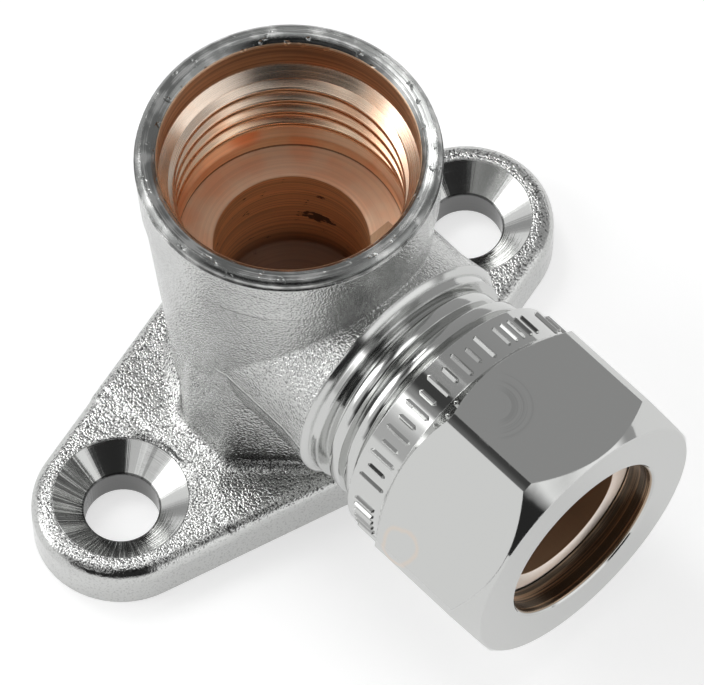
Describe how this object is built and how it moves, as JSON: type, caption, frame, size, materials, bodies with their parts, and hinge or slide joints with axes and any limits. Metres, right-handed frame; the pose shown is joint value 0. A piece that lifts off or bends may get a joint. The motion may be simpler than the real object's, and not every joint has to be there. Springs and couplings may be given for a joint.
{
  "type": "wall plate elbow",
  "caption": "Elbow on a flat plate for fixing to a wall, with an internally threaded socket and a compression outlet for pipe at right angles.",
  "frame": {"origin": "middle of the flat back of the plate, on the axis of the threaded socket", "axes": "+Z along the socket, out of its mouth; +X along the pipe outlet, out of its mouth; the two screw holes lie along Y"},
  "size_m": [0.0482, 0.056, 0.0378],
  "materials": {
    "plated_brass": "chrome plate over a blasted forging, turned faces bright",
    "polished_plating": "bright chrome plate on milled and turned brass",
    "bare_brass": "bare turned brass"
  },
  "bodies": {
    "elbow": {"elbow_body": "plated_brass"},
    "seal": {"olive": "bare_brass"},
    "nut": {"compression_nut": "polished_plating"}
  },
  "joints": [
    {"name": "nut_travel", "type": "slide", "parent": "elbow", "child": "seal", "axis": [1, 0, 0], "range_m": [0, 0.00726]},
    {"name": "nut_turn", "type": "hinge", "parent": "seal", "child": "nut", "pos_m": [0, 0, 0.0182], "axis": [1, 0, 0], "range_deg": [0, 1440]}
  ],
  "couplings": [
    {"joint": "nut_travel", "follows": "nut_turn", "m_per_rad": 0.00028871}
  ]
}
